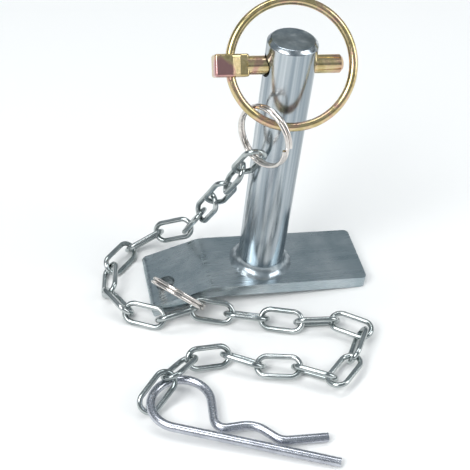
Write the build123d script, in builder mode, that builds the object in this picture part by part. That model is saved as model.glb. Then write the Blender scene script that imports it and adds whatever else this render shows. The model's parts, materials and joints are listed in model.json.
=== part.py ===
from build123d import *
from math import asin, atan2, ceil, cos, degrees, hypot, pi, radians, sin
import os

os.makedirs("parts", exist_ok=True)

# Three-point hitch pin with its linch pin, keeper chain and hair-pin clip.
# Millimetres. +Z is up and the floor is at Z 0. The handle plate's long side runs along X.

# ---- clearances ------------------------------------------------------------------------
chain_slack = 0.6      # between one link's bow and the next
ring_slack = 1.5       # between a split ring and the first link
floor_gap = 0.05       # under the chain that lies on the floor

# ---- round pin and its handle plate ----------------------------------------------------
pin_diameter = 22.0
pin_length = 123.0
pin_chamfer = 1.6
pin_lead_relief = 0.2           # off the radius, so that the mate slides on easily
pin_lead_margin = 1.2           # of the turned lead below the cross hole
cross_hole_diameter = 10.0
cross_hole_drop = 12.3          # from the pin's top to the hole's centre
weld_leg = 4.0
weld_bevel = 2.5                # off the bar's foot, filled by the weld
weld_hollow = 0.35              # how concave the weld's face is

plate_width = 36.0
plate_thickness = 6.0
plate_right_reach = 50.0        # from the pin's axis to the straight end
plate_left_reach = 25.0         # from the pin's axis to the start of the bend
flap_length = 27.5
flap_bend = 21.0                # degrees down from the plate
bend_radius = 9.0               # inside of the bend
plate_corner_radius = 2.5
tip_edge_radius = 3.0
flap_hole_diameter = 9.1
flap_hole_margin = 9.5          # from the flap's end to the hole's centre
flap_hole_aside = -4.9          # to the plate's front

# ---- linch pin -------------------------------------------------------------------------
shank_diameter = 8.0
shank_tip_reach = 23.0          # beyond the pin's axis
shank_tip_chamfer = 1.2
head_gap = 7.0                  # between the pin's side and the head
head_length = 15.0
head_height = 9.6
head_depth = 8.4
head_waist_depth = 6.4
head_lip_depth = 3.78           # from the shank's axis to the lip at the head's inner end
head_waist_inset = 3.75         # from the head's inner end to the waist
head_shoulder_inset = 7.5       # and to the shoulder behind it
head_root = 1.0                 # of the shank inside the head
head_edge_radius = 1.2
linch_ring_diameter = 56.5
linch_wire = 3.8
linch_lean = 35.0               # degrees that the ring's plane leans back from upright
linch_stand_off = 6.5           # degrees that the closed ring stands off the shank's tip
ring_hole_inset = 7.5           # from the head's outer end to the ring's pivot
ring_hole_clearance = 0.35
ring_mouth_angle = 13.0         # half of the ring's opening, at its centre
ring_end_radius = 6.0
ring_end_gap = 1.0              # between the ring's two ends, inside the head

# ---- split rings -----------------------------------------------------------------------
split_ring_diameter = 28.5
split_wire = 1.7
split_turns = 2.0
hoop_slack = 3.1        # between the upper split ring and the linch pin's hoop
split_pitch = 1.85
ring_1_hoop_angle = -117.0      # where the upper ring hangs on the hoop
ring_1_heading = -146.0         # the way its face looks
ring_1_tilt = 4.0
ring_1_top_angle = 0.0          # where the hoop passes through it, from straight up
ring_2_facing = (-0.621, -0.508, -0.596)
ring_2_start = (0.135, 0.68, -0.721)    # toward the outer end of its wire
ring_2_from_hole = (4.788, -11.6, 3.412)    # its centre, from the plate's hole
junction_from_hole = (10.988, -18.4, -1.188)    # where the chain's two lengths meet in it
ring_1_link_angle = 197.3       # where the first link hangs in it

# ---- chain -----------------------------------------------------------------------------
chain_wire = 2.5
link_inner_length = 17.2
link_inner_width = 6.6

# Heading and roll of each link from the plate's ring to the clip, in degrees.
free_links = [
    (-16.3, -51.4), (-19.8, 38.4), (-22.8, -45.8), (-8.8, 58.2), (-39.4, -12.1), (-121.1, 117),
    (-136.3, -8.6), (148.3, 120.7), (163.1, 26.9), (148.1, 136.6), (-173.3, 55.4),
    (-133.5, 146.2), (-142.5, 40.6),
]
heap_heights = [8.1, 11.65, 4.4]   # start of the last two links, and the very end
hang_heading = 125.1446         # the hanging length runs straight down to behind the plate
hang_end_height = 16.489
hang_steepest = 63.0            # a higher ring hangs by more links than this would need
landing_slope = 60.0            # the steepest that the next links come down to the floor
hanging_rolls = [142.8, 39.2, 134.4, 70.2]
corner_twist = -11.61           # of the lowest hanging link, from a quarter turn to the next
behind_lift = 4.7        # how far the loop is still off the floor one link on
loop_rolls = [62.2, -50.8, 45.5, -49.9, 50, -50, 45]

# ---- hair-pin clip ---------------------------------------------------------------------
clip_wire = 4.0
clip_arm_length = 72.0
clip_loop_radius = 13.2
clip_neck_radius = 5.0
clip_crest_radius = 12.0
clip_dip_radius = 8.0
clip_tail_length = 17.0
clip_side_length = 10.0
clip_rise_length = 6.0
clip_fall_length = 5.0
clip_loop_sweep = 250.0         # degrees that each bend of its wire turns through
clip_neck_sweep = 95.0
clip_crest_sweep = 50.0
clip_dip_sweep = 45.0
clip_heading = -24.0
clip_slope = 2.64               # degrees down toward the arm's end
clip_grip_angle = 187.6         # where the last link holds it, round its loop
clip_lift = 6.1                 # height of its wire there
clip_inset = 3.7

# ---- worked out from the sizes above ---------------------------------------------------
pin_radius = pin_diameter / 2
link_length = link_inner_length + chain_wire
link_room = (chain_wire + chain_slack) / 2
link_pitch = link_length - 2 * link_room
link_half_width = (link_inner_width + chain_wire) / 2
split_radius = (split_ring_diameter - split_wire) / 2
linch_radius = (linch_ring_diameter - linch_wire) / 2

# The flap reaches lower than the plate, so the whole piece leans on its straight end.
bend = radians(flap_bend)
tip_x = -plate_left_reach - bend_radius * sin(bend) - flap_length * cos(bend)
tip_z = -plate_thickness - bend_radius * (1 - cos(bend)) - flap_length * sin(bend)
lean = atan2(-plate_thickness - tip_z, plate_right_reach - tip_x)
foot_height = plate_right_reach * sin(lean) + plate_thickness * cos(lean)
foot_x = 14.42          # puts the middle of the whole assembly over X 0, Y 0
foot_y = 43.12

pin_plane = Plane(
    origin=(foot_x, foot_y, foot_height),
    x_dir=(cos(lean), 0, -sin(lean)),
    z_dir=(sin(lean), 0, cos(lean)),
)


def on_plate(x, y, z):
    """A point in the pin's own frame: X along the plate, Z along the pin."""
    return pin_plane.from_local_coords(Vector(x, y, z))


outside_radius = bend_radius + plate_thickness
hole_reach = flap_length - flap_hole_margin     # along the flap, to the hole's centre
hole_x = -plate_left_reach - outside_radius * sin(bend) - hole_reach * cos(bend)
hole_z = -outside_radius * (1 - cos(bend)) - hole_reach * sin(bend)
flap_hole = on_plate(hole_x, flap_hole_aside, hole_z)


# ---- directions and planes -------------------------------------------------------------
def direction(heading, slope):
    """Unit vector: heading turns about +Z from +X, slope climbs."""
    h, s = radians(heading), radians(slope)
    return Vector(cos(s) * cos(h), cos(s) * sin(h), sin(s))


def turned(first, second, angle):
    """A direction turned from the first toward the second, which is square to it."""
    return first * cos(radians(angle)) + second * sin(radians(angle))


def rolled_normal(start, end, roll):
    """Normal of a link; roll 0 lies as flat as its slope allows."""
    along = (end - start).normalized()
    left = Vector(-along.Y, along.X, 0).normalized()
    return turned(along.cross(left), left, roll)


def link_plane(start, end, normal, start_room):
    """Plane of a link between its two contact points."""
    along = (end - start).normalized()
    return Plane(origin=start + along * (link_length / 2 - start_room), x_dir=along, z_dir=normal)


def lying_height_of(roll):
    """Height of a link's middle when its lower side lies on the floor."""
    return link_half_width * abs(sin(radians(roll))) + chain_wire / 2 + floor_gap


def even_turn(lengths, span):
    """Turn from link to link that closes a run of links on a span, and the run's own angle."""
    low, high = 0.0, 2 * pi / len(lengths)
    for _ in range(50):
        turn = (low + high) / 2
        x = sum(length * cos(k * turn) for k, length in enumerate(lengths))
        y = sum(length * sin(k * turn) for k, length in enumerate(lengths))
        if hypot(x, y) > span:
            low = turn
        else:
            high = turn
    return turn, atan2(y, x)


# ---- linch pin and upper split ring in place -------------------------------------------
# The linch pin's frame: X along the shank, Y up in the ring's plane, Z out of that plane.
hole_centre = on_plate(0, 0, pin_length - cross_hole_drop)
back_lean = radians(linch_lean)
upward = pin_plane.z_dir * cos(back_lean) + Vector(0, 1, 0) * sin(back_lean)
linch_plane = Plane(origin=hole_centre, x_dir=pin_plane.x_dir, z_dir=pin_plane.x_dir.cross(upward))
head_inner = -pin_radius - head_gap
head_outer = head_inner - head_length
pivot_x = head_outer + ring_hole_inset
ring_pivot = linch_plane.from_local_coords(Vector(pivot_x, 0, 0))
ring_plane = Plane(
    origin=ring_pivot,
    x_dir=linch_plane.x_dir.rotate(Axis((0, 0, 0), upward), -linch_stand_off),
    z_dir=linch_plane.z_dir.rotate(Axis((0, 0, 0), upward), -linch_stand_off),
)
mouth = radians(ring_mouth_angle)
hoop_centre_x = linch_radius * cos(mouth) + ring_end_radius * (1 - cos(mouth))

# The upper split ring hangs on the hoop and carries the first link.
hang_angle = radians(ring_1_hoop_angle)
hoop_point = ring_plane.from_local_coords(
    Vector(hoop_centre_x + linch_radius * cos(hang_angle), linch_radius * sin(hang_angle), 0)
)
ring_1_normal = direction(ring_1_heading, ring_1_tilt)
ring_1_across = Vector(-ring_1_normal.Y, ring_1_normal.X, 0).normalized()
ring_1_up = ring_1_normal.cross(ring_1_across)


def round_ring_1(angle):
    """Direction from the upper split ring's centre, turned from straight up in its plane."""
    return ring_1_up * cos(radians(angle)) + ring_1_across * sin(radians(angle))


split_inside = split_radius - split_wire / 2
ring_1_centre = hoop_point - round_ring_1(ring_1_top_angle) * (split_inside - hoop_slack - linch_wire / 2)
ring_1_plane = Plane(origin=ring_1_centre, x_dir=ring_1_across, z_dir=ring_1_normal)


# ---- the chain's route -----------------------------------------------------------------
hang_start = ring_1_centre + round_ring_1(ring_1_link_angle) * (split_inside - ring_slack)
junction = flap_hole + Vector(*junction_from_hole)


def hanging_points():
    """Contact points of the links that hang from the linch pin's ring to behind the plate."""
    drop = hang_start.Z - hang_end_height
    needed = ceil(drop / (link_pitch * sin(radians(hang_steepest))))
    count = max(len(hanging_rolls) + 1, needed)
    slope = -degrees(asin(drop / (link_pitch * count)))
    step = direction(hang_heading, slope) * link_pitch
    return [hang_start + step * k for k in range(count + 1)]


def loop_points(start):
    """Contact points of the loop that lies on the floor round to the plate's ring."""
    heights = [start.Z]
    for here, following in zip(loop_rolls, loop_rolls[1:]):
        heights.append(max(lying_height_of(here), lying_height_of(following)))
    heights[1] += behind_lift
    for k in range(1, len(heights)):
        heights[k] = max(heights[k], heights[k - 1] - link_pitch * sin(radians(landing_slope)))
    heights.append(junction.Z)
    slopes = [asin((b - a) / link_pitch) for a, b in zip(heights, heights[1:])]
    across = junction - start
    turn, own = even_turn([link_pitch * cos(s) for s in slopes], hypot(across.X, across.Y))
    first = atan2(across.Y, across.X) - own
    points = [start]
    for k, slope in enumerate(slopes):
        heading = degrees(first + k * turn)
        points.append(points[-1] + direction(heading, degrees(slope)) * link_pitch)
    return points


def free_route(start):
    """Contact points of the length that carries the clip, and the room at each link's start."""
    rolls = [roll for _, roll in free_links]
    shifts = [0.0]
    for here, following in zip(rolls, rolls[1:]):
        # A flat link turns in its neighbour about the centre of its own bow.
        flatness = cos(radians(here)) ** 2 - cos(radians(following)) ** 2
        shifts.append((link_half_width - link_room) * flatness)
    shifts.append(0.0)
    heights = [start.Z]
    for here, following in zip(rolls, rolls[1:]):
        heights.append(max(lying_height_of(here), lying_height_of(following)))
    heights = heights[:-2] + heap_heights
    points = [start]
    for k, (heading, _) in enumerate(free_links):
        length = link_pitch + shifts[k] - shifts[k + 1]
        slope = degrees(asin((heights[k + 1] - heights[k]) / length))
        points.append(points[-1] + direction(heading, slope) * length)
    return points, [link_room - shift for shift in shifts]


hanging = hanging_points()
loop = loop_points(hanging[-1])
free, free_rooms = free_route(loop[-1])
route = hanging + loop[1:] + free[1:]
start_rooms = [link_room] * (len(route) - len(free)) + free_rooms[:-1]
rolls = loop_rolls + [roll for _, roll in free_links]
lying = loop + free[1:]
normals = [rolled_normal(a, b, roll) for a, b, roll in zip(lying, lying[1:], rolls)]
corner_along = (hanging[-1] - hanging[-2]).normalized()
quarter_turn = corner_along.cross(normals[0]).normalized()
normals.insert(0, turned(quarter_turn, corner_along.cross(quarter_turn), corner_twist))
upper = [
    rolled_normal(a, b, hanging_rolls[k % len(hanging_rolls)])
    for k, (a, b) in enumerate(zip(hanging[:-1], hanging[1:-1]))
]
link_planes = [
    link_plane(a, b, normal, room)
    for a, b, normal, room in zip(route, route[1:], upper + normals, start_rooms)
]


# ---- pin, plate and weld ---------------------------------------------------------------
pin_axis = Axis(pin_plane.origin, pin_plane.z_dir)
side_plane = Plane(origin=pin_plane.origin, x_dir=pin_plane.x_dir, z_dir=(0, -1, 0))
lead_radius = pin_radius - pin_lead_relief
lead_start = pin_length - cross_hole_drop - cross_hole_diameter / 2 - pin_lead_margin

with BuildPart() as pin_shaft:
    with BuildSketch(side_plane):
        with BuildLine():
            Polyline(
                (0, 0),
                (pin_radius - weld_bevel, 0),
                (pin_radius, weld_leg),
                (pin_radius, lead_start),
                (lead_radius, lead_start + pin_lead_relief),
                (lead_radius, pin_length - pin_chamfer),
                (lead_radius - pin_chamfer, pin_length),
                (0, pin_length),
                close=True,
            )
        make_face()
    revolve(axis=pin_axis)
    with BuildSketch(Plane(origin=hole_centre, x_dir=(0, 1, 0), z_dir=pin_plane.x_dir)):
        Circle(cross_hole_diameter / 2)
    extrude(amount=pin_diameter, both=True, mode=Mode.SUBTRACT)
pin_shaft.part.label = "pin_shaft"
export_step(pin_shaft.part, "parts/pin_shaft.step")

with BuildPart() as plate:
    with BuildSketch(side_plane):
        with BuildLine():
            top = Line((plate_right_reach, 0), (-plate_left_reach, 0))
            over = JernArc(top @ 1, (-1, 0), outside_radius, flap_bend)
            down_slope = over % 1
            across_slope = Vector(-down_slope.Y, down_slope.X)
            flap_top = Line(over @ 1, over @ 1 + down_slope * flap_length)
            tip = Line(flap_top @ 1, flap_top @ 1 + across_slope * plate_thickness)
            flap_under = Line(tip @ 1, tip @ 1 - down_slope * flap_length)
            JernArc(flap_under @ 1, -down_slope, bend_radius, -flap_bend)
            under = Line((-plate_left_reach, -plate_thickness), (plate_right_reach, -plate_thickness))
            Line(under @ 1, top @ 0)
        make_face()
    extrude(amount=plate_width / 2, both=True)
    along_plate = Axis(pin_plane.origin, pin_plane.x_dir)
    right_end = plate.faces().sort_by(along_plate)[-1]
    upright_edges = right_end.edges().filter_by(Axis(pin_plane.origin, pin_plane.z_dir))
    fillet(upright_edges, plate_corner_radius)
    flap_face = plate.faces().filter_by(GeomType.PLANE).sort_by(along_plate)[0]
    fillet(flap_face.edges().filter_by(Axis.Y).sort_by(Axis.Z)[-1], tip_edge_radius)
    flap_normal = (side_plane.from_local_coords(Vector(0, 0)) - side_plane.from_local_coords(across_slope))
    with BuildSketch(Plane(origin=flap_hole, x_dir=(0, 1, 0), z_dir=flap_normal)):
        Circle(flap_hole_diameter / 2)
    extrude(amount=-2 * plate_thickness, mode=Mode.SUBTRACT)
plate.part.label = "plate"
export_step(plate.part, "parts/plate.step")

with BuildPart() as weld_bead:
    with BuildSketch(side_plane):
        with BuildLine():
            root = Line((pin_radius - weld_bevel, 0), (pin_radius + weld_leg, 0))
            face = TangentArc(root @ 1, (pin_radius, weld_leg), tangent=(-1, weld_hollow))
            Line(face @ 1, root @ 0)
        make_face()
    revolve(axis=pin_axis)
weld_bead.part.label = "weld_bead"
export_step(weld_bead.part, "parts/weld_bead.step")

# ---- linch pin -------------------------------------------------------------------------
with BuildPart() as linch_pin:
    plan_plane = Plane(origin=hole_centre, x_dir=linch_plane.x_dir, z_dir=-linch_plane.y_dir)
    with BuildSketch(plan_plane):
        with BuildLine():
            Polyline(
                (head_outer, -head_depth / 2),
                (head_inner, -head_depth / 2),
                (head_inner, head_lip_depth),
                (head_inner - head_waist_inset, head_waist_depth / 2),
                (head_inner - head_shoulder_inset, head_depth / 2),
                (head_outer, head_depth / 2),
                close=True,
            )
        make_face()
    extrude(amount=head_height / 2, both=True)
    fillet(linch_pin.edges(), head_edge_radius)
    shank_plane = Plane(origin=hole_centre, x_dir=upward, z_dir=linch_plane.x_dir)
    with BuildSketch(shank_plane.offset(head_inner - head_root)):
        Circle(shank_diameter / 2)
    extrude(amount=shank_tip_reach - head_inner + head_root)
    shank_axis = Axis(hole_centre, linch_plane.x_dir)
    chamfer(linch_pin.faces().sort_by(shank_axis)[-1].edges(), shank_tip_chamfer)
    with BuildSketch(Plane(origin=ring_pivot, z_dir=upward)):
        Circle(linch_wire / 2 + ring_hole_clearance)
    extrude(amount=head_height, both=True, mode=Mode.SUBTRACT)
linch_pin.part.label = "linch_pin"
export_step(linch_pin.part, "parts/linch_pin.step")

stub_top = linch_radius * sin(mouth) - ring_end_radius * sin(mouth)
stub_length = stub_top - ring_end_gap

with BuildPart() as linch_ring:
    with BuildLine(ring_plane) as ring_path:
        first_stub = Line((0, stub_top - stub_length), (0, stub_top))
        first_turn = JernArc(first_stub @ 1, first_stub % 1, ring_end_radius, -ring_mouth_angle)
        hoop = JernArc(first_turn @ 1, first_turn % 1, linch_radius, -360 + 2 * ring_mouth_angle)
        last_turn = JernArc(hoop @ 1, hoop % 1, ring_end_radius, -ring_mouth_angle)
        Line(last_turn @ 1, last_turn @ 1 + (last_turn % 1) * stub_length)
    with BuildSketch(Plane(origin=first_stub @ 0, z_dir=first_stub % 0)):
        Circle(linch_wire / 2)
    sweep(path=ring_path.line)
linch_ring.part.label = "linch_ring"
export_step(linch_ring.part, "parts/linch_ring.step")


# ---- split rings -----------------------------------------------------------------------
def split_ring(plane, label):
    """Key-ring coil of flat-laid turns, centred on the plane."""
    with BuildPart() as ring:
        with BuildLine() as coil:
            Helix(split_pitch, split_pitch * split_turns, split_radius)
        with BuildSketch(Plane(origin=coil.line @ 0, z_dir=coil.line % 0)):
            Circle(split_wire / 2)
        sweep(path=coil.line, is_frenet=True)
    middle = Location((0, 0, -split_pitch * split_turns / 2))
    placed = ring.part.moved(plane.location * middle)
    placed.label = label
    export_step(placed, f"parts/{label}.step")
    return placed


split_ring_1 = split_ring(ring_1_plane, "split_ring_1")
ring_2_centre = flap_hole + Vector(*ring_2_from_hole)
ring_2_plane = Plane(origin=ring_2_centre, x_dir=ring_2_start, z_dir=ring_2_facing)
split_ring_2 = split_ring(ring_2_plane, "split_ring_2")


# ---- chain -----------------------------------------------------------------------------
with BuildPart() as link:
    straight = link_inner_length - link_inner_width
    with BuildLine() as loop_line:
        start = Line((-straight / 2, -link_half_width), (straight / 2, -link_half_width))
        bow = JernArc(start @ 1, (1, 0), link_half_width, 180)
        back = Line(bow @ 1, bow @ 1 - Vector(straight, 0))
        JernArc(back @ 1, (-1, 0), link_half_width, 180)
    with BuildSketch(Plane(origin=start @ 0, z_dir=(1, 0, 0))):
        Circle(chain_wire / 2)
    sweep(path=loop_line.line)

chain_links = []
for number, plane in enumerate(link_planes, start=1):
    placed = link.part.moved(plane.location)
    placed.label = f"chain_link_{number:02d}"
    export_step(placed, f"parts/{placed.label}.step")
    chain_links.append(placed)

# ---- hair-pin clip ---------------------------------------------------------------------
with BuildPart() as clip:
    with BuildLine() as clip_path:
        arm = Line((clip_arm_length, 0), (0, 0))
        hoop_bend = JernArc(arm @ 1, (-1, 0), clip_loop_radius, -clip_loop_sweep)
        side = Line(hoop_bend @ 1, hoop_bend @ 1 + (hoop_bend % 1) * clip_side_length)
        neck = JernArc(side @ 1, side % 1, clip_neck_radius, clip_neck_sweep)
        rise = Line(neck @ 1, neck @ 1 + (neck % 1) * clip_rise_length)
        crest = JernArc(rise @ 1, rise % 1, clip_crest_radius, -clip_crest_sweep)
        fall = Line(crest @ 1, crest @ 1 + (crest % 1) * clip_fall_length)
        dip = JernArc(fall @ 1, fall % 1, clip_dip_radius, clip_dip_sweep)
        Line(dip @ 1, dip @ 1 + (dip % 1) * clip_tail_length)
    with BuildSketch(Plane(origin=arm @ 0, z_dir=(-1, 0, 0))):
        Circle(clip_wire / 2)
    sweep(path=clip_path.line)

last_along = (route[-1] - route[-2]).normalized()
clip_anchor = route[-1] - Vector(last_along.X, last_along.Y, 0) * clip_inset
clip_anchor = Vector(clip_anchor.X, clip_anchor.Y, clip_lift)
grip_angle = radians(clip_grip_angle)
grip_local = Vector(
    clip_loop_radius * cos(grip_angle),
    clip_loop_radius + clip_loop_radius * sin(grip_angle),
    0,
)
clip_turn = Plane(
    origin=(0, 0, 0),
    x_dir=direction(clip_heading, -clip_slope),
    z_dir=direction(clip_heading, 90 - clip_slope),
)
clip_plane = Plane(
    origin=clip_anchor - (clip_turn.from_local_coords(grip_local)),
    x_dir=clip_turn.x_dir,
    z_dir=clip_turn.z_dir,
)
r_clip = clip.part.moved(clip_plane.location)
r_clip.label = "r_clip"
export_step(r_clip, "parts/r_clip.step")
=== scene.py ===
# %% [markdown]
# # A three-point hitch pin with its keeper chain
# A welded steel pin, a linch pin on a chain and a hair-pin clip, dressed for the camera.
# The measured model is loaded first and is never moved. The plate, the linch pin, the rings
# and the clip keep their measured meshes and get a finish. The bar and its weld are round, so
# they are spun anew with finer edges. The links are all alike, so Geometry Nodes make them.

# %% Load the measured model
import json
import math

import bmesh
import bpy
import numpy as np
from mathutils import Matrix, Vector, noise


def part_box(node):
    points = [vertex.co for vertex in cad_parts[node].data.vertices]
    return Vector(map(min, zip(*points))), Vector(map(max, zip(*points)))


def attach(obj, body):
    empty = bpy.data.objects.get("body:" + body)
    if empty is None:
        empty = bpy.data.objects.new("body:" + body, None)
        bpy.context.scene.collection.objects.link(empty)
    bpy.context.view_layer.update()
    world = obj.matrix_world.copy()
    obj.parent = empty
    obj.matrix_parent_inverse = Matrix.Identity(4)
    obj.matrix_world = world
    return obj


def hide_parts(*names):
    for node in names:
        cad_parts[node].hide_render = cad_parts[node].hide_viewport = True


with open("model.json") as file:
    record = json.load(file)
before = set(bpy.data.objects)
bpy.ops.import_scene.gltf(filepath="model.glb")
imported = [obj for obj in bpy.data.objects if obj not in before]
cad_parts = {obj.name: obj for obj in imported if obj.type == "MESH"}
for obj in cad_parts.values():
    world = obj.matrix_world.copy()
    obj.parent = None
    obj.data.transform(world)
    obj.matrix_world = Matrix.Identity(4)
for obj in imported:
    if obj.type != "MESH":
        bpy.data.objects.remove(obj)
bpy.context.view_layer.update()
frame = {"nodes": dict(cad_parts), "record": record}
MM = 0.001

# %% [markdown]
# ## Camera
# A long lens from above and a little to the left, which keeps the pin's sides nearly
# parallel. We aim it by its line of sight: heading is turned from straight ahead (+Y), dip is
# how far it looks down. `to_track_quat` turns that direction into a camera rotation, because
# a camera looks along its own -Z with +Y up. Everything the scene gets is put in by one small
# helper, which the later cells use too.

# %% Place the camera
def put_in_scene(name, data):
    """A new object that shows `data`, linked to the scene."""
    thing = bpy.data.objects.new(name, data)
    bpy.context.scene.collection.objects.link(thing)
    return thing


HEADING, DIP = math.radians(11.4), math.radians(41.6)
sight = Vector((
    math.sin(HEADING) * math.cos(DIP),
    math.cos(HEADING) * math.cos(DIP),
    -math.sin(DIP),
))
eye = bpy.data.cameras.new("studio_camera")
eye.sensor_width = 36
eye.lens = 80.4
eye.clip_start = 0.02
camera = put_in_scene("studio_camera", eye)
camera.location = (-0.0721, -0.3242, 0.3616)
camera.rotation_euler = sight.to_track_quat("-Z", "Y").to_euler()
bpy.context.scene.camera = camera
print("camera looks along", [round(v, 3) for v in sight])

# %% [markdown]
# ## Helpers for materials
# Finishes are written as sRGB hex values, the way a designer notes them, and Blender works in
# linear light, so `linear` converts. `add` adds a node, sets it and links its inputs. `every`
# turns a real size in millimetres into a texture scale: Object coordinates are in metres, so a
# pattern with one feature every `size` mm needs a scale of 1000 / size. `start_metal` begins
# each metal in the same way, `set_stops` fills a colour ramp, and `feed` links the finished
# patterns to the shader. Noise seldom leaves the middle of its range, so the finishes stretch
# that middle out.

# %% Material helpers
def linear(hex_colour):
    """sRGB hex to linear RGBA."""
    parts = [int(hex_colour[i:i + 2], 16) / 255 for i in (1, 3, 5)]
    return [c / 12.92 if c <= 0.04045 else ((c + 0.055) / 1.055) ** 2.4 for c in parts] + [1]


def add(tree, kind, inputs=None, **settings):
    """Adds a node. Each of its inputs takes a value or another node's output."""
    node = tree.nodes.new(kind)
    for name, value in settings.items():
        setattr(node, name, value)
    for socket, value in (inputs or {}).items():
        if isinstance(value, bpy.types.NodeSocket):
            tree.links.new(value, node.inputs[socket])
        else:
            node.inputs[socket].default_value = value
    return node


def every(size):
    """Texture scale for one feature every `size` millimetres."""
    return 1000 / size


def start_metal(name, roughness):
    """
    A metal with its Principled shader and output in place; the IOR stays at its default. The
    roughness is the finish's typical one, which a pattern may then vary.
    """
    metal = bpy.data.materials.new(name)
    metal.use_nodes = True
    tree = metal.node_tree
    tree.nodes.clear()
    shader = add(tree, "ShaderNodeBsdfPrincipled", {"Metallic": 1.0, "Roughness": roughness})
    add(tree, "ShaderNodeOutputMaterial", {"Surface": shader.outputs[0]})
    return metal, tree, shader


def set_stops(node, stops):
    """Gives a colour ramp its stops, as (position, hex colour)."""
    ramp = node.color_ramp
    while len(ramp.elements) < len(stops):
        ramp.elements.new(0.5)
    for element, (position, hex_colour) in zip(ramp.elements, stops):
        element.position = position
        element.color = linear(hex_colour)


def feed(tree, shader, sources):
    """Links the first output of each node to the shader's input of that name."""
    for socket, node in sources.items():
        tree.links.new(node.outputs[0], shader.inputs[socket])


NOISE_MIDDLE = {"From Min": 0.3, "From Max": 0.7}   # where most of a noise's values lie
print("mid grey is", round(linear("#808080")[0], 3))

# %% [markdown]
# ## Bright zinc on the drawn pin
# The round pin is cold-drawn bar, electroplated with zinc and clear passivated. The plating is
# bright but follows the draw marks, fine lines along the bar. Noise that is pulled out along
# the bar gives those lines in its roughness and bump. A coarser noise, pulled out the same way,
# paints light and dark bands into its colour: a painted reflection of the streaks that a round
# bar mirrors. A Mapping node of type Texture first turns the point into the bar's own frame and
# then divides by its scale. An image could be wrapped round the bar instead, but noise has no
# seam. The bar leans a little, and its mount in the record says how much. Real draw lines are
# finer than this, and these are as coarse as they need to be to show.

# %% Find the pin's own direction
def node_points(node):
    """The points of a measured solid, in millimetres."""
    mesh = frame["nodes"][node].data
    flat = np.empty(len(mesh.vertices) * 3)
    mesh.vertices.foreach_get("co", flat)
    return flat.reshape(-1, 3) / MM


mount = next(m for m in frame["record"]["mounts"] if m["name"] == "pin")
pin_axis = Vector(mount["axis"])
pin_lean = math.atan2(pin_axis.x, pin_axis.z)
print("the pin leans", round(math.degrees(pin_lean), 2), "degrees")

# %% Bright zinc with draw lines and painted reflection bands
LINE_LENGTH = 60   # how many times longer a draw line is than it is wide
bright_zinc, tree, shader = start_metal("bright_zinc_on_drawn_steel", 0.2)
where = add(tree, "ShaderNodeTexCoord")
along_bar = add(
    tree, "ShaderNodeMapping",
    {"Vector": where.outputs["Object"], "Rotation": (0, pin_lean, 0),
     "Scale": (1, 1, LINE_LENGTH)},
    vector_type="TEXTURE",
)
draw_lines = add(
    tree, "ShaderNodeTexNoise",
    {"Vector": along_bar.outputs[0], "Scale": every(1.1), "Detail": 5.0, "Roughness": 0.6},
)
# coarse noise along the bar, used for colour only: painted reflection of the light and dark
# streaks that a round bar mirrors
painted_reflection_bands = add(
    tree, "ShaderNodeTexNoise",
    {"Vector": along_bar.outputs[0], "Scale": every(5), "Detail": 3.0, "Roughness": 0.6},
)
# the ramp's dark and pale greys, in bands along the bar, are painted reflection
tint = add(tree, "ShaderNodeValToRGB", {"Fac": painted_reflection_bands.outputs[0]})
set_stops(tint, [(0.34, "#78848c"), (0.5, "#9da7ae"), (0.64, "#cbd0d3")])
smear = add(
    tree, "ShaderNodeMapRange",
    {"Value": draw_lines.outputs[0], **NOISE_MIDDLE, "To Min": 0.13, "To Max": 0.27},
)
groove = add(
    tree, "ShaderNodeBump",
    {"Height": draw_lines.outputs[0], "Strength": 0.35, "Distance": 0.02 * MM},
)
feed(tree, shader, {"Base Color": tint, "Roughness": smear, "Normal": groove})
print("draw lines every 1.1 mm and streaks every 5 mm, pulled out along the bar")

# %% [markdown]
# ## Zinc on the faced end
# The bar's end was faced on the lathe, so under its zinc it is duller than the drawn side, with
# a few darker smudges where the bath dried. A rougher metal, in a darker grey, says that.

# %% Zinc on the faced end
end_zinc, tree, shader = start_metal("bright_zinc_on_faced_end", 0.42)
where = add(tree, "ShaderNodeTexCoord")
smudges = add(
    tree, "ShaderNodeTexNoise",
    {"Vector": where.outputs["Object"], "Scale": every(5), "Detail": 5.0, "Roughness": 0.6},
)
tint = add(tree, "ShaderNodeValToRGB", {"Fac": smudges.outputs[0]})
set_stops(tint, [(0.35, "#7d8b94"), (0.55, "#93a0a8"), (0.72, "#b4bec4")])
smear = add(
    tree, "ShaderNodeMapRange",
    {"Value": smudges.outputs[0], **NOISE_MIDDLE, "To Min": 0.36, "To Max": 0.5},
)
feed(tree, shader, {"Base Color": tint, "Roughness": smear})
print("smudges every 5 mm")

# %% [markdown]
# ## The same zinc on the rolled flat bar
# The handle plate is hot-rolled flat bar, so under the plating it is slightly wavy and has
# grey-green clouds, with light scuffs along its length. The waves are a few millimetres wide
# and only hundredths deep, enough to break up a reflection. Clouds, scuffs and waves are three
# separate noises, so that each keeps its own size.

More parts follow.
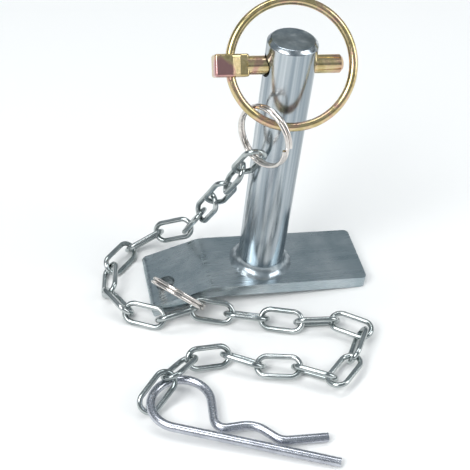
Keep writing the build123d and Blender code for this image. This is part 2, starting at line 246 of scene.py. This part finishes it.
# %% Zinc on rolled flat bar
SCUFF_LENGTH = 25   # how many times longer a scuff is than it is wide
SCUFF_SKEW = 0.05   # radians between the scuffs and the plate's edge
plate_zinc, tree, shader = start_metal("bright_zinc_on_rolled_bar", 0.3)
where = add(tree, "ShaderNodeTexCoord")
clouds = add(
    tree, "ShaderNodeTexNoise",
    {"Vector": where.outputs["Object"], "Scale": every(22), "Detail": 6.0, "Roughness": 0.62,
     "Distortion": 0.4},
)
scuff_frame = add(
    tree, "ShaderNodeMapping",
    {"Vector": where.outputs["Object"], "Rotation": (0, pin_lean, SCUFF_SKEW),
     "Scale": (SCUFF_LENGTH, 1, 1)},
    vector_type="TEXTURE",
)
scuffs = add(
    tree, "ShaderNodeTexNoise",
    {"Vector": scuff_frame.outputs[0], "Scale": every(1.6), "Detail": 4.0},
)
waves = add(
    tree, "ShaderNodeTexNoise",
    {"Vector": where.outputs["Object"], "Scale": every(9), "Detail": 2.0},
)
tint = add(tree, "ShaderNodeValToRGB", {"Fac": clouds.outputs[0]})
set_stops(tint, [(0.3, "#97a6ac"), (0.5, "#b0bbc0"), (0.7, "#c6ced1")])
smear = add(
    tree, "ShaderNodeMapRange",
    {"Value": scuffs.outputs[0], "From Min": 0.35, "From Max": 0.7, "To Min": 0.22, "To Max": 0.4},
)
rolled = add(
    tree, "ShaderNodeBump",
    {"Height": waves.outputs[0], "Strength": 0.5, "Distance": 0.12 * MM},
)
scratched = add(
    tree, "ShaderNodeBump",
    {"Height": scuffs.outputs[0], "Strength": 0.3, "Distance": 0.015 * MM,
     "Normal": rolled.outputs[0]},
)
feed(tree, shader, {"Base Color": tint, "Roughness": smear, "Normal": scratched})
print("rolling waves every 9 mm, scuffs every 1.6 mm")

# %% [markdown]
# ## Zinc over the weld
# The pin is welded to the plate all round, and the plating covers the weld. A weld's face is
# lumpy, so it breaks what it mirrors into small patches. Soft noise, bent by its own distortion
# so that no two lumps are alike, tints the zinc and drives a Bump node.

# %% Zinc on the weld
weld_zinc, tree, shader = start_metal("bright_zinc_on_weld", 0.28)
where = add(tree, "ShaderNodeTexCoord")
lumps = add(
    tree, "ShaderNodeTexNoise",
    {"Vector": where.outputs["Object"], "Scale": every(2.6), "Detail": 2.0, "Distortion": 0.6},
)
tint = add(tree, "ShaderNodeValToRGB", {"Fac": lumps.outputs[0]})
set_stops(tint, [(0.3, "#97a3aa"), (0.7, "#b9c2c7")])
raised = add(
    tree, "ShaderNodeBump",
    {"Height": lumps.outputs[0], "Strength": 0.6, "Distance": 0.25 * MM},
)
feed(tree, shader, {"Base Color": tint, "Normal": raised})
print("weld lumps every 2.6 mm")

# %% [markdown]
# ## Yellow zinc on the linch pin
# The linch pin and its hoop are zinc plated and yellow chromated. The film is thin and
# uneven, so its gold slides into pink and green over a few millimetres. A ramp from olive
# through gold to rose, driven by soft noise, paints those bands, and they stay with the metal
# when the view changes. The film is thickest on the pad at the head's front, which is rose all
# over, so the noise is raised near that pad. The plating's fine grain under the film is made
# coarse enough here to show.

# %% Find the pad at the head's front
HEAD_LENGTH, PAD_MIDDLE = 8, 3   # millimetres along the linch pin, from its head's end
linch_low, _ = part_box("linch_pin")
linch_points = node_points("linch_pin")
head_points = linch_points[linch_points[:, 0] < linch_low[0] / MM + HEAD_LENGTH]
head_front = (
    linch_low[0] + PAD_MIDDLE * MM,
    linch_low[1],
    (head_points[:, 2].max() + head_points[:, 2].min()) / 2 * MM,
)
print("pad at", [round(v, 4) for v in head_front])

# %% Yellow chromated zinc
FULL_FILM, THIN_FILM = 4.5, 7   # millimetres from the pad: the extra film fades between them
yellow_zinc, tree, shader = start_metal("yellow_chromated_zinc", 0.2)
where = add(tree, "ShaderNodeTexCoord")
film = add(
    tree, "ShaderNodeTexNoise",
    {"Vector": where.outputs["Object"], "Scale": every(8), "Detail": 3.0, "Roughness": 0.55,
     "Distortion": 0.8},
)
to_head = add(
    tree, "ShaderNodeVectorMath", {0: where.outputs["Object"], 1: head_front},
    operation="DISTANCE",
)
thicker = add(
    tree, "ShaderNodeMapRange",
    {"Value": to_head.outputs["Value"], "From Min": FULL_FILM * MM, "From Max": THIN_FILM * MM,
     "To Min": 0.3, "To Max": 0.0},
)
thickness = add(
    tree, "ShaderNodeMath", {0: film.outputs[0], 1: thicker.outputs[0]}, operation="ADD"
)
bands = add(tree, "ShaderNodeValToRGB", {"Fac": thickness.outputs[0]})
set_stops(bands, [
    (0.25, "#a9a27a"), (0.42, "#c4b180"), (0.52, "#d6c498"),   # olive to gold
    (0.62, "#d1b094"), (0.78, "#c29592"),   # copper to rose
])
grain = add(
    tree, "ShaderNodeTexNoise",
    {"Vector": where.outputs["Object"], "Scale": every(0.8), "Detail": 3.0},
)
smear = add(
    tree, "ShaderNodeMapRange",
    {"Value": grain.outputs[0], **NOISE_MIDDLE, "To Min": 0.14, "To Max": 0.26},
)
skin = add(
    tree, "ShaderNodeBump",
    {"Height": grain.outputs[0], "Strength": 0.25, "Distance": 0.02 * MM},
)
feed(tree, shader, {"Base Color": bands, "Roughness": smear, "Normal": skin})
print("film bands every 8 mm")

# %% [markdown]
# ## Nickel on the split rings
# Key rings are spring wire, barrel polished and nickel plated: the brightest, warmest metal
# here, nearly a mirror with faint tumbling marks. Real ones are finer, and these are as coarse
# as they need to be to show.

# %% Polished nickel
ring_nickel, tree, shader = start_metal("polished_nickel", 0.1)
where = add(tree, "ShaderNodeTexCoord")
tumbled = add(
    tree, "ShaderNodeTexNoise",
    {"Vector": where.outputs["Object"], "Scale": every(1.4), "Detail": 3.0},
)
tint = add(tree, "ShaderNodeValToRGB", {"Fac": tumbled.outputs[0]})
set_stops(tint, [(0.3, "#cbc6c2"), (0.7, "#e4ded9")])
smear = add(
    tree, "ShaderNodeMapRange",
    {"Value": tumbled.outputs[0], **NOISE_MIDDLE, "To Min": 0.07, "To Max": 0.15},
)
feed(tree, shader, {"Base Color": tint, "Roughness": smear})
print("tumbling marks every 1.4 mm")

# %% [markdown]
# ## Zinc on the chain
# The chain is plated in a barrel, where the links knock against each other. It comes out
# bright, with tiny dents and a slightly different grey from link to link. Large noise gives the
# change from link to link, small noise the dents.

# %% Barrel-plated zinc
chain_zinc, tree, shader = start_metal("barrel_plated_zinc", 0.13)
where = add(tree, "ShaderNodeTexCoord")
from_link_to_link = add(
    tree, "ShaderNodeTexNoise",
    {"Vector": where.outputs["Object"], "Scale": every(14), "Detail": 2.0},
)
tint = add(tree, "ShaderNodeValToRGB", {"Fac": from_link_to_link.outputs[0]})
set_stops(tint, [(0.3, "#8f9798"), (0.5, "#abb2b2"), (0.7, "#c5caca")])
dents = add(
    tree, "ShaderNodeTexNoise",
    {"Vector": where.outputs["Object"], "Scale": every(1.3), "Detail": 3.0},
)
smear = add(
    tree, "ShaderNodeMapRange",
    {"Value": dents.outputs[0], **NOISE_MIDDLE, "To Min": 0.08, "To Max": 0.18},
)
knocked = add(
    tree, "ShaderNodeBump",
    {"Height": dents.outputs[0], "Strength": 0.35, "Distance": 0.05 * MM},
)
feed(tree, shader, {"Base Color": tint, "Roughness": smear, "Normal": knocked})
print("dents every 1.3 mm")

# %% [markdown]
# ## Satin zinc on the clip
# The hair-pin clip is spring wire with a satin, faintly violet zinc: softer reflections than the
# chain, with very fine drawing marks, which are made coarse enough here to show.

# %% Satin zinc
clip_zinc, tree, shader = start_metal("satin_zinc_on_spring_wire", 0.25)
where = add(tree, "ShaderNodeTexCoord")
haze = add(
    tree, "ShaderNodeTexNoise",
    {"Vector": where.outputs["Object"], "Scale": every(6), "Detail": 4.0},
)
tint = add(tree, "ShaderNodeValToRGB", {"Fac": haze.outputs[0]})
set_stops(tint, [(0.3, "#abaeb7"), (0.7, "#c8cbd3")])
marks = add(
    tree, "ShaderNodeTexNoise",
    {"Vector": where.outputs["Object"], "Scale": every(0.7), "Detail": 2.0},
)
smear = add(
    tree, "ShaderNodeMapRange",
    {"Value": marks.outputs[0], **NOISE_MIDDLE, "To Min": 0.2, "To Max": 0.3},
)
satin = add(
    tree, "ShaderNodeBump",
    {"Height": marks.outputs[0], "Strength": 0.25, "Distance": 0.02 * MM},
)
feed(tree, shader, {"Base Color": tint, "Roughness": smear, "Normal": satin})
print("haze every 6 mm")

# %% [markdown]
# ## Give the measured pieces their finishes
# The plate, the linch pin with its hoop, the split rings and the clip already have their true
# shapes, so each keeps its mesh, and only its material slots change.

# %% Assign the finishes
finishes = {
    "plate": plate_zinc,
    "linch_pin": yellow_zinc,
    "linch_ring": yellow_zinc,
    "split_ring_1": ring_nickel,
    "split_ring_2": ring_nickel,
    "r_clip": clip_zinc,
}
for node, finish in finishes.items():
    for holder in frame["nodes"][node].material_slots:
        holder.material = finish
print("finished", len(finishes), "measured pieces")

# %% [markdown]
# ## The bar, turned and drilled
# The pin is cut from drawn bar, chamfered on a lathe and drilled across. Here it is made the
# same way: a profile is spun round the bar's axis with bmesh, and a Boolean drills the hole. The
# profile's corners are rounded a little, because a sharp edge never catches the light. An extra
# point a little way off each edge of the chamfer keeps that edge's smooth shading off the faces
# beyond it. Faces that look along the bar get the duller zinc of the faced end.

# %% Find the bar's frame and spin a profile in it
heights = node_points("pin_shaft") @ np.array(pin_axis)
bar_length = float(np.ptp(heights))
on_axis = Vector(mount["pos_m"])
bar_foot = on_axis + pin_axis * (float(heights.min()) * MM - on_axis.dot(pin_axis))
bar_frame = Matrix.Translation(bar_foot) @ Matrix.Rotation(pin_lean, 4, "Y")
MERGE = 0.001   # millimetres between points that become one
print("bar", round(bar_length, 2), "mm from", [round(v, 4) for v in bar_foot])


def parabola(start, pull, end, steps):
    """Points from `start` to `end` on the curve that `pull` draws towards itself."""
    return [
        start * (1 - t) ** 2 + pull * 2 * t * (1 - t) + end * t ** 2
        for t in (k / steps for k in range(steps + 1))
    ]


def round_corners(corners, reach, steps=4):
    """A profile with each inner corner made a parabola that starts `reach` before it."""
    line = [corners[0]]
    for before, corner, after in zip(corners, corners[1:], corners[2:]):
        start = corner + (before - corner).normalized() * reach
        end = corner + (after - corner).normalized() * reach
        line += parabola(start, corner, end, steps)
    return line + [corners[-1]]


def spin_mesh(name, profile, steps, closed):
    """
    A mesh turned round the bar's axis from (radius, height) points in millimetres. An open
    profile starts and ends on the axis, and a closed one makes a ring.
    """
    work = bmesh.new()
    row = [work.verts.new((point.x * MM, 0, point.y * MM)) for point in profile]
    edges = [work.edges.new(pair) for pair in zip(row, row[1:])]
    if closed:
        edges.append(work.edges.new((row[-1], row[0])))
    bmesh.ops.spin(
        work, geom=row + edges, cent=(0, 0, 0), axis=(0, 0, 1), angle=math.tau, steps=steps,
    )
    bmesh.ops.remove_doubles(work, verts=work.verts, dist=MERGE * MM)
    bmesh.ops.recalc_face_normals(work, faces=work.faces)
    mesh = bpy.data.meshes.new(name)
    work.to_mesh(mesh)
    work.free()
    mesh.transform(bar_frame)
    return mesh


# %% Turn the bar
BAR_RADIUS = mount["dims"]["r_mm"]
CHAMFER, FOOT_BEVEL, FOOT_LEG = 1.6, 2.5, 4.0   # millimetres
EDGE_REACH, SHADING_GUARD = 0.45, 1.5   # millimetres, of a rounding and to an extra point
BAR_STEPS = 160   # flats round the bar, too small to see
chamfer_foot = bar_length - CHAMFER
face_radius = BAR_RADIUS - CHAMFER
bar_corners = [Vector(corner) for corner in (
    (0, 0), (BAR_RADIUS - FOOT_BEVEL, 0), (BAR_RADIUS, FOOT_LEG),
    (BAR_RADIUS, chamfer_foot - SHADING_GUARD), (BAR_RADIUS, chamfer_foot),
    (face_radius, bar_length), (face_radius - SHADING_GUARD, bar_length), (0, bar_length),
)]
bar_profile = round_corners(bar_corners, EDGE_REACH)
bar_mesh = spin_mesh("pin_bar", bar_profile, BAR_STEPS, closed=False)
print("bar faces", len(bar_mesh.polygons))

# %% Drill it across
HOLE_DROP, HOLE_RADIUS = 12.3, 5.0   # millimetres below the bar's top, and the drill's own
DRILL_SIDES = 72
DRILL_LENGTH = 4 * BAR_RADIUS   # twice the bar's width, so that it comes out on both sides
hole_middle = Matrix.Translation((0, 0, (bar_length - HOLE_DROP) * MM))
crosswise = Matrix.Rotation(math.pi / 2, 4, "Y")
drill_bit = bmesh.new()
bmesh.ops.create_cone(
    drill_bit, cap_ends=True, segments=DRILL_SIDES, radius1=HOLE_RADIUS * MM,
    radius2=HOLE_RADIUS * MM, depth=DRILL_LENGTH * MM,
    matrix=bar_frame @ hole_middle @ crosswise,
)
drill_mesh = bpy.data.meshes.new("drill")
drill_bit.to_mesh(drill_mesh)
drill_bit.free()
drill = put_in_scene("drill", drill_mesh)
blank = put_in_scene("blank", bar_mesh)
cut = blank.modifiers.new("cross_hole", "BOOLEAN")
cut.object = drill
cut.solver = "EXACT"
drilled = bpy.data.meshes.new_from_object(
    blank.evaluated_get(bpy.context.evaluated_depsgraph_get())
)
for helper in (drill, blank):
    bpy.data.objects.remove(helper)
print("drilled bar faces", len(drilled.polygons))

# %% Give the bar its two finishes
BAR_CREASE = math.radians(35)   # steeper edges, such as the hole's, stay sharp
FACES_UP = 0.98   # cosine of the lean at which a face still belongs to the faced end
drilled.shade_smooth()
drilled.set_sharp_from_angle(angle=BAR_CREASE)
drilled.materials.clear()
for metal in (bright_zinc, end_zinc):
    drilled.materials.append(metal)
for face in drilled.polygons:
    face.material_index = int(face.normal.dot(pin_axis) > FACES_UP)
pin_bar = put_in_scene("pin_bar", drilled)
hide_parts("pin_shaft")
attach(pin_bar, "pin")
print("faces of the end", sum(face.material_index for face in drilled.polygons))

# %% [markdown]
# ## The weld round the foot
# A fillet weld runs all round the bar's foot. It flares from the bar out on to the plate in a
# hollow curve, and its face is never quite even. The same spin makes the ring from a hollow
# profile, whose back is hidden in the joint. Left like that it would look machined, so each
# point then moves up to about a tenth of a millimetre in or out with smooth noise.

# %% Spin the weld and make it uneven
WELD_LEG, WELD_HOLLOW, WELD_ROOT = 4.2, 1.0, 0.6   # millimetres
WELD_UNEVEN, WELD_LUMP = 0.16, 3.2   # millimetres, height and width of its unevenness
WELD_STEPS, FACE_STEPS = 200, 14   # round the bar, and across the weld's face
WELD_CREASE = math.radians(50)   # steeper edges, where the face ends, stay sharp
up_end = Vector((BAR_RADIUS, WELD_LEG))
out_end = Vector((BAR_RADIUS + WELD_LEG, 0))
hollow = Vector((BAR_RADIUS + WELD_HOLLOW, WELD_HOLLOW))
weld_face = parabola(up_end, hollow, out_end, FACE_STEPS)
weld_back = [
    out_end - Vector((0, WELD_ROOT)),
    Vector((BAR_RADIUS - WELD_ROOT, -WELD_ROOT)),
    up_end - Vector((WELD_ROOT, 0)),
]
weld_mesh = spin_mesh("weld_fillet", weld_face + weld_back, WELD_STEPS, closed=True)
outward = [point.normal.copy() for point in weld_mesh.vertices]
for point, normal in zip(weld_mesh.vertices, outward):
    point.co += normal * noise.noise(point.co / (WELD_LUMP * MM)) * WELD_UNEVEN * MM
weld_mesh.shade_smooth()
weld_mesh.set_sharp_from_angle(angle=WELD_CREASE)
weld_mesh.materials.append(weld_zinc)
weld = put_in_scene("weld_fillet", weld_mesh)
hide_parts("weld_bead")
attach(weld, "pin")
print("weld faces", len(weld_mesh.polygons))

# %% [markdown]
# ## The chain links
# Each link is a length of wire bent to an oval and butt welded in the middle of one long side,
# where the weld leaves a small swelling. In Geometry Nodes that is a rounded rectangle as a
# curve, resampled so that it has points along the straights, a radius that swells at the weld,
# and a circle swept along it. A link could be modelled once and copied by hand, but a tree keeps
# its sizes as inputs and makes all of them alike. The sizes are read off a measured link: they
# are its extents along its three main directions, which follow from how its points spread.

# %% Read the link's sizes off the measured solid
def main_directions(points):
    """Centre of a cloud of points and its directions, from the longest to the shortest."""
    centre = (points.max(axis=0) + points.min(axis=0)) / 2
    _, turn = np.linalg.eigh(np.cov((points - points.mean(axis=0)).T))
    along = (points - centre) @ turn
    centre = centre + turn @ ((along.max(axis=0) + along.min(axis=0)) / 2)
    return centre, turn[:, ::-1]


measured_link = node_points("chain_link_15")
_, link_turn = main_directions(measured_link)
link_long, link_wide, wire = np.ptp(measured_link @ link_turn, axis=0)
print("link", round(link_long, 2), "by", round(link_wide, 2), "wire", round(wire, 2), "mm")

# %% Build the link's node tree
links_tree = bpy.data.node_groups.new("chain_link", "GeometryNodeTree")
link_sockets = links_tree.interface
for name, kind, value in (
    ("Length", "NodeSocketFloat", (link_long - wire) * MM),
    ("Width", "NodeSocketFloat", (link_wide - wire) * MM),
    ("Wire", "NodeSocketFloat", wire * MM),
    ("Weld Swell", "NodeSocketFloat", 0.07),   # share of the wire's radius
    ("Weld Reach", "NodeSocketFloat", 1.5 * MM),
    ("Place", "NodeSocketVector", (0, 0, 0)),
    ("Turn", "NodeSocketRotation", (0, 0, 0)),
):
    socket = link_sockets.new_socket(name, in_out="INPUT", socket_type=kind)
    socket.default_value = value
link_sockets.new_socket("Metal", in_out="INPUT", socket_type="NodeSocketMaterial")
link_sockets.new_socket("Link", in_out="OUTPUT", socket_type="NodeSocketGeometry")
given = add(links_tree, "NodeGroupInput").outputs
print("sockets", [item.name for item in link_sockets.items_tree])

# %% Bend the wire
NEARLY_HALF = 0.4999   # of the width, so that an end's two quarter rounds never quite meet
ROUND_POINTS, OVAL_POINTS = 14, 96   # in a quarter round, and in the whole oval
half = add(
    links_tree, "ShaderNodeMath", {0: given["Width"], 1: NEARLY_HALF}, operation="MULTIPLY"
)
outline = add(
    links_tree, "GeometryNodeCurvePrimitiveQuadrilateral",
    {"Width": given["Length"], "Height": given["Width"]},
)
oval = add(
    links_tree, "GeometryNodeFilletCurve",
    {"Curve": outline.outputs[0], "Radius": half.outputs[0], "Count": ROUND_POINTS}, mode="POLY",
)
stepped = add(
    links_tree, "GeometryNodeResampleCurve", {"Curve": oval.outputs[0], "Count": OVAL_POINTS}
)
print("oval of", OVAL_POINTS, "points")

# %% Swell the wire at its weld
here = add(links_tree, "GeometryNodeInputPosition")
split = add(links_tree, "ShaderNodeSeparateXYZ", {0: here.outputs[0]})
from_weld = add(links_tree, "ShaderNodeMath", {0: split.outputs[0]}, operation="ABSOLUTE")
hump = add(
    links_tree, "ShaderNodeMapRange",
    {"Value": from_weld.outputs[0], "From Min": 0.0, "From Max": given["Weld Reach"],
     "To Min": given["Weld Swell"], "To Max": 0.0},
    interpolation_type="SMOOTHSTEP",
)
welded_side = add(
    links_tree, "ShaderNodeMath", {0: split.outputs[1], 1: 0.0}, operation="LESS_THAN"
)
swelling = add(
    links_tree, "ShaderNodeMath",
    {0: hump.outputs[0], 1: welded_side.outputs[0], 2: 1.0}, operation="MULTIPLY_ADD",
)
swollen = add(
    links_tree, "GeometryNodeSetCurveRadius",
    {"Curve": stepped.outputs[0], "Radius": swelling.outputs[0]},
)
print("weld in the middle of the lower side")

# %% Sweep the wire and seat the link
WIRE_SIDES = 20
wire_radius = add(
    links_tree, "ShaderNodeMath", {0: given["Wire"], 1: 0.5}, operation="MULTIPLY"
)
section = add(
    links_tree, "GeometryNodeCurvePrimitiveCircle",
    {"Resolution": WIRE_SIDES, "Radius": wire_radius.outputs[0]},
)
swept = add(
    links_tree, "GeometryNodeCurveToMesh",
    {"Curve": swollen.outputs[0], "Profile Curve": section.outputs[0]},
)
smooth = add(links_tree, "GeometryNodeSetShadeSmooth", {0: swept.outputs[0]})
seated = add(
    links_tree, "GeometryNodeTransform",
    {"Geometry": smooth.outputs[0], "Translation": given["Place"], "Rotation": given["Turn"]},
)
real = add(links_tree, "GeometryNodeRealizeInstances", {0: seated.outputs[0]})
dressed = add(
    links_tree, "GeometryNodeSetMaterial",
    {"Geometry": real.outputs[0], "Material": given["Metal"]},
)
add(links_tree, "NodeGroupOutput", {0: dressed.outputs[0]})
print("nodes", len(links_tree.nodes))

# %% [markdown]
# ## Seat each link on its solid
# A link is longer than it is wide and wider than it is thick, so the three main directions of
# its solid say how it lies. They become the Turn input. A modifier's inputs are set by their
# identifiers, then the result is copied to a plain mesh and the modifier goes with the bench
# that held it. Each link is then compared with its solid.

# %% Make the twenty-five links
def grow(tree, name, values):
    """Runs a node tree once, with its inputs set, and returns the result as a plain object."""
    bench = put_in_scene(name + "_bench", bpy.data.meshes.new(name + "_bench"))
    modifier = bench.modifiers.new("grow", "NODES")
    modifier.node_group = tree
    keys = {i.name: i.identifier for i in tree.interface.items_tree if i.in_out == "INPUT"}
    for label, value in values.items():
        modifier[keys[label]] = value
    evaluated = bench.evaluated_get(bpy.context.evaluated_depsgraph_get())
    mesh = bpy.data.meshes.new_from_object(evaluated)
    mesh.name = name
    bpy.data.objects.remove(bench)
    return put_in_scene(name, mesh)


chain_nodes = sorted(n for n in frame["nodes"] if n.startswith("chain_link_"))
furthest = 0
for node in chain_nodes:
    points = node_points(node)
    centre, turn = main_directions(points)
    if np.linalg.det(turn) < 0:
        turn[:, 2] *= -1   # a turn can't mirror
    piece = grow(links_tree, node + "_wire", {
        "Place": Vector(centre) * MM,
        "Turn": Matrix(turn.tolist()).to_euler(),
        "Metal": chain_zinc,
    })
    made = np.array([v.co[:] for v in piece.data.vertices]) / MM
    furthest = max(furthest, np.abs(made.max(axis=0) - points.max(axis=0)).max())
    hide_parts(node)
    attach(piece, node)
print("links", len(chain_nodes), "furthest off", round(float(furthest), 3), "mm")

# %% [markdown]
# ## Floor and light
# A plain, nearly white floor, and soft light from big lamps. Bare metal shows what is round it,
# so the room matters as much as the lamps. It is white below the horizon, where a low view
# looks past the floor. Low in its walls is a dark band, which the metal mirrors as its dark
# streaks. Above the band the walls are paler, and the ceiling is mid grey, so that the metal
# doesn't turn milky.

# %% The floor
floor_paint = bpy.data.materials.new("matt_white_floor")
floor_paint.use_nodes = True
floor_shader = floor_paint.node_tree.nodes["Principled BSDF"]
floor_shader.inputs["Base Color"].default_value = linear("#fbfbfa")
floor_shader.inputs["Roughness"].default_value = 0.9
floor_mesh = bpy.data.meshes.new("floor")
HALF_FLOOR = 0.7   # metres
corners = [(-1, -1), (1, -1), (1, 1), (-1, 1)]
floor_mesh.from_pydata(
    [(x * HALF_FLOOR, y * HALF_FLOOR, 0) for x, y in corners], [], [(0, 1, 2, 3)]
)
floor_mesh.materials.append(floor_paint)
floor = put_in_scene("floor", floor_mesh)
print("floor", floor.dimensions[:])

# %% The lamps
def soft_box(name, place, size, power):
    """A lamp of `size` metres and `power` watts at `place`, looking at the assembly's middle."""
    lamp = bpy.data.lights.new(name, "AREA")
    lamp.shape = "RECTANGLE"
    lamp.size, lamp.size_y = size
    lamp.energy = power
    holder = put_in_scene(name, lamp)
    holder.location = place
    look = LAMP_AIM - Vector(place)
    holder.rotation_euler = look.to_track_quat("-Z", "Y").to_euler()


LAMP_AIM = Vector((0, 0, 0.04))
soft_box("key_box", (-0.7, -0.5, 1.0), (0.7, 0.7), 9.5)
soft_box("fill_box", (0.9, -0.35, 0.7), (0.5, 0.9), 4.8)
soft_box("top_box", (-0.1, 0.35, 1.4), (1.0, 0.3), 5.0)
print("lamps", len(bpy.data.lights))

# %% The room
room = bpy.data.worlds.new("studio_room")
bpy.context.scene.world = room
room.use_nodes = True
tree = room.node_tree
tree.nodes.clear()
direction = add(tree, "ShaderNodeTexCoord")
height = add(tree, "ShaderNodeSeparateXYZ", {0: direction.outputs["Generated"]})
walls = add(tree, "ShaderNodeValToRGB", {"Fac": height.outputs[2]})
set_stops(walls, [
    (0.0, "#ffffff"), (0.13, "#f4f5f6"),   # the horizon
    (0.3, "#5b646a"), (0.5, "#8c9499"), (0.66, "#b3babe"),   # the dark band, then pale walls
    (0.85, "#8e969b"), (1.0, "#a4abb0"),   # the ceiling
])
light = add(tree, "ShaderNodeBackground", {"Color": walls.outputs[0], "Strength": 1.0})
add(tree, "ShaderNodeOutputWorld", {"Surface": light.outputs[0]})
bpy.context.scene.view_settings.view_transform = "Standard"
print("room ready")
